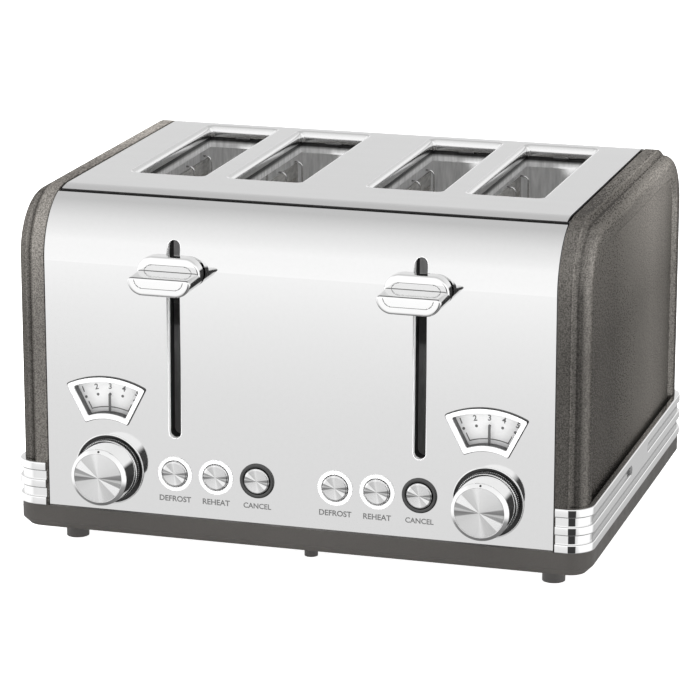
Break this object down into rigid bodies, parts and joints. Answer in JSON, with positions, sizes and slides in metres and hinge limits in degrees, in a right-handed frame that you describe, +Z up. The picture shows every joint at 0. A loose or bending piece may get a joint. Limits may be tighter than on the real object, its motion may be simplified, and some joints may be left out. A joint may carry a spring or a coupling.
{
  "type": "pop up toaster",
  "caption": "Pop up toaster with paired long slots, drop levers, browning knobs with gauges, push buttons and pull-out crumb trays.",
  "frame": {"origin": "on the floor under the middle of the bounding box", "axes": "+Z up, -Y towards the control panel, +X to the right as seen from the front"},
  "size_m": [0.3308, 0.278, 0.203],
  "materials": {
    "polished_steel": "mirror polished",
    "satin_steel": "satin",
    "chrome": "polished",
    "spun_metal": "spun face, polished rim",
    "grey_paint": "metallic with fine speckle",
    "base_plastic": "fine matte",
    "foot_rubber": "matte",
    "black_rubber": "matte",
    "black_plastic": "gloss",
    "white_ring": "translucent light ring",
    "dial_face": "printed dial",
    "needle": "matte",
    "plated_steel": "zinc plated",
    "wire_steel": "bright wire",
    "mica": "layered mica",
    "nichrome": "oxidised ribbon",
    "circuit_board": "solder mask",
    "component": "moulded"
  },
  "bodies": {
    "housing": {"base_pan": "base_plastic", "base_screws": "plated_steel", "cancel_button_rings": "black_plastic", "centre_feet": "foot_rubber", "chassis_floor": "plated_steel", "control_boards": "circuit_board", "cord_gland": "black_plastic", "corner_feet": "foot_rubber", "front_bulkhead": "plated_steel", "front_panel": "polished_steel", "function_button_rings": "white_ring", "gauge_bezels": "chrome", "gauge_dials": "dial_face", "guide_rods": "wire_steel", "heater_boards": "mica", "heater_ribbons": "nichrome", "knob_collars": "chrome", "left_lift_spring": "wire_steel", "left_side_cover": "grey_paint", "left_trim_band": "chrome", "lever_slot_liners": "black_plastic", "magnets": "component", "rear_bulkhead": "plated_steel", "rear_panel": "polished_steel", "reflectors": "plated_steel", "right_lift_spring": "wire_steel", "right_side_cover": "grey_paint", "right_trim_band": "chrome", "slot_frame": "plated_steel", "switches_and_potentiometers": "component", "top_gasket": "black_rubber", "top_plate": "satin_steel"},
    "left_carriage": {"left_carriage": "plated_steel", "left_bread_rack": "wire_steel", "left_lever_knob": "chrome"},
    "right_carriage": {"right_carriage": "plated_steel", "right_bread_rack": "wire_steel", "right_lever_knob": "chrome"},
    "guide_cage_1": {"guide_cage_1": "wire_steel"},
    "guide_cage_2": {"guide_cage_2": "wire_steel"},
    "guide_cage_3": {"guide_cage_3": "wire_steel"},
    "guide_cage_4": {"guide_cage_4": "wire_steel"},
    "guide_cage_5": {"guide_cage_5": "wire_steel"},
    "guide_cage_6": {"guide_cage_6": "wire_steel"},
    "guide_cage_7": {"guide_cage_7": "wire_steel"},
    "guide_cage_8": {"guide_cage_8": "wire_steel"},
    "left_browning_control": {"left_browning_knob": "spun_metal", "left_knob_shaft": "plated_steel", "left_gauge_needle": "needle"},
    "right_browning_control": {"right_browning_knob": "spun_metal", "right_knob_shaft": "plated_steel", "right_gauge_needle": "needle"},
    "left_defrost_button": {"left_defrost_button": "spun_metal"},
    "left_reheat_button": {"left_reheat_button": "spun_metal"},
    "left_cancel_button": {"left_cancel_button": "spun_metal"},
    "right_defrost_button": {"right_defrost_button": "spun_metal"},
    "right_reheat_button": {"right_reheat_button": "spun_metal"},
    "right_cancel_button": {"right_cancel_button": "spun_metal"},
    "left_crumb_tray": {"left_crumb_tray": "base_plastic"},
    "right_crumb_tray": {"right_crumb_tray": "base_plastic"}
  },
  "joints": [
    {"name": "left_lever_slide", "type": "slide", "parent": "housing", "child": "left_carriage", "axis": [0, 0, 1], "range_m": [-0.088, 0.01], "stiffness_N_per_m": 100, "springref_m": 0.02081, "deforming": ["left_lift_spring"]},
    {"name": "right_lever_slide", "type": "slide", "parent": "housing", "child": "right_carriage", "axis": [0, 0, 1], "range_m": [-0.088, 0.01], "stiffness_N_per_m": 100, "springref_m": 0.02081, "deforming": ["right_lift_spring"]},
    {"name": "guide_cage_1_tilt", "type": "hinge", "parent": "housing", "child": "guide_cage_1", "pos_m": [-0.1157, 0, 0.036], "axis": [0, 1, 0], "range_deg": [-0.6, 4.3]},
    {"name": "guide_cage_2_tilt", "type": "hinge", "parent": "housing", "child": "guide_cage_2", "pos_m": [-0.0797, 0, 0.036], "axis": [0, 1, 0], "range_deg": [-4.3, 0.6]},
    {"name": "guide_cage_3_tilt", "type": "hinge", "parent": "housing", "child": "guide_cage_3", "pos_m": [-0.0586, 0, 0.036], "axis": [0, 1, 0], "range_deg": [-0.6, 4.3]},
    {"name": "guide_cage_4_tilt", "type": "hinge", "parent": "housing", "child": "guide_cage_4", "pos_m": [-0.0226, 0, 0.036], "axis": [0, 1, 0], "range_deg": [-4.3, 0.6]},
    {"name": "guide_cage_5_tilt", "type": "hinge", "parent": "housing", "child": "guide_cage_5", "pos_m": [0.0226, 0, 0.036], "axis": [0, 1, 0], "range_deg": [-0.6, 4.3]},
    {"name": "guide_cage_6_tilt", "type": "hinge", "parent": "housing", "child": "guide_cage_6", "pos_m": [0.0586, 0, 0.036], "axis": [0, 1, 0], "range_deg": [-4.3, 0.6]},
    {"name": "guide_cage_7_tilt", "type": "hinge", "parent": "housing", "child": "guide_cage_7", "pos_m": [0.0797, 0, 0.036], "axis": [0, 1, 0], "range_deg": [-0.6, 4.3]},
    {"name": "guide_cage_8_tilt", "type": "hinge", "parent": "housing", "child": "guide_cage_8", "pos_m": [0.1157, 0, 0.036], "axis": [0, 1, 0], "range_deg": [-4.3, 0.6]},
    {"name": "left_browning_turn", "type": "hinge", "parent": "housing", "child": "left_browning_control", "pos_m": [-0.1084, -0.134, 0.0498], "axis": [0, 1, 0], "range_deg": [-26, 26]},
    {"name": "right_browning_turn", "type": "hinge", "parent": "housing", "child": "right_browning_control", "pos_m": [0.1084, -0.134, 0.0498], "axis": [0, 1, 0], "range_deg": [-26, 26]},
    {"name": "left_defrost_button_press", "type": "slide", "parent": "housing", "child": "left_defrost_button", "axis": [0, 1, 0], "range_m": [0, 0.002], "stiffness_N_per_m": 400},
    {"name": "left_reheat_button_press", "type": "slide", "parent": "housing", "child": "left_reheat_button", "axis": [0, 1, 0], "range_m": [0, 0.002], "stiffness_N_per_m": 400},
    {"name": "left_cancel_button_press", "type": "slide", "parent": "housing", "child": "left_cancel_button", "axis": [0, 1, 0], "range_m": [0, 0.002], "stiffness_N_per_m": 400},
    {"name": "right_defrost_button_press", "type": "slide", "parent": "housing", "child": "right_defrost_button", "axis": [0, 1, 0], "range_m": [0, 0.002], "stiffness_N_per_m": 400},
    {"name": "right_reheat_button_press", "type": "slide", "parent": "housing", "child": "right_reheat_button", "axis": [0, 1, 0], "range_m": [0, 0.002], "stiffness_N_per_m": 400},
    {"name": "right_cancel_button_press", "type": "slide", "parent": "housing", "child": "right_cancel_button", "axis": [0, 1, 0], "range_m": [0, 0.002], "stiffness_N_per_m": 400},
    {"name": "left_crumb_tray_pull", "type": "slide", "parent": "housing", "child": "left_crumb_tray", "axis": [0, 1, 0], "range_m": [0, 0.19]},
    {"name": "right_crumb_tray_pull", "type": "slide", "parent": "housing", "child": "right_crumb_tray", "axis": [0, 1, 0], "range_m": [0, 0.19]}
  ],
  "couplings": [
    {"joint": "guide_cage_1_tilt", "follows": "left_lever_slide", "rad_per_m": -0.833},
    {"joint": "guide_cage_2_tilt", "follows": "left_lever_slide", "rad_per_m": 0.833},
    {"joint": "guide_cage_3_tilt", "follows": "left_lever_slide", "rad_per_m": -0.833},
    {"joint": "guide_cage_4_tilt", "follows": "left_lever_slide", "rad_per_m": 0.833},
    {"joint": "guide_cage_5_tilt", "follows": "right_lever_slide", "rad_per_m": -0.833},
    {"joint": "guide_cage_6_tilt", "follows": "right_lever_slide", "rad_per_m": 0.833},
    {"joint": "guide_cage_7_tilt", "follows": "right_lever_slide", "rad_per_m": -0.833},
    {"joint": "guide_cage_8_tilt", "follows": "right_lever_slide", "rad_per_m": 0.833}
  ]
}
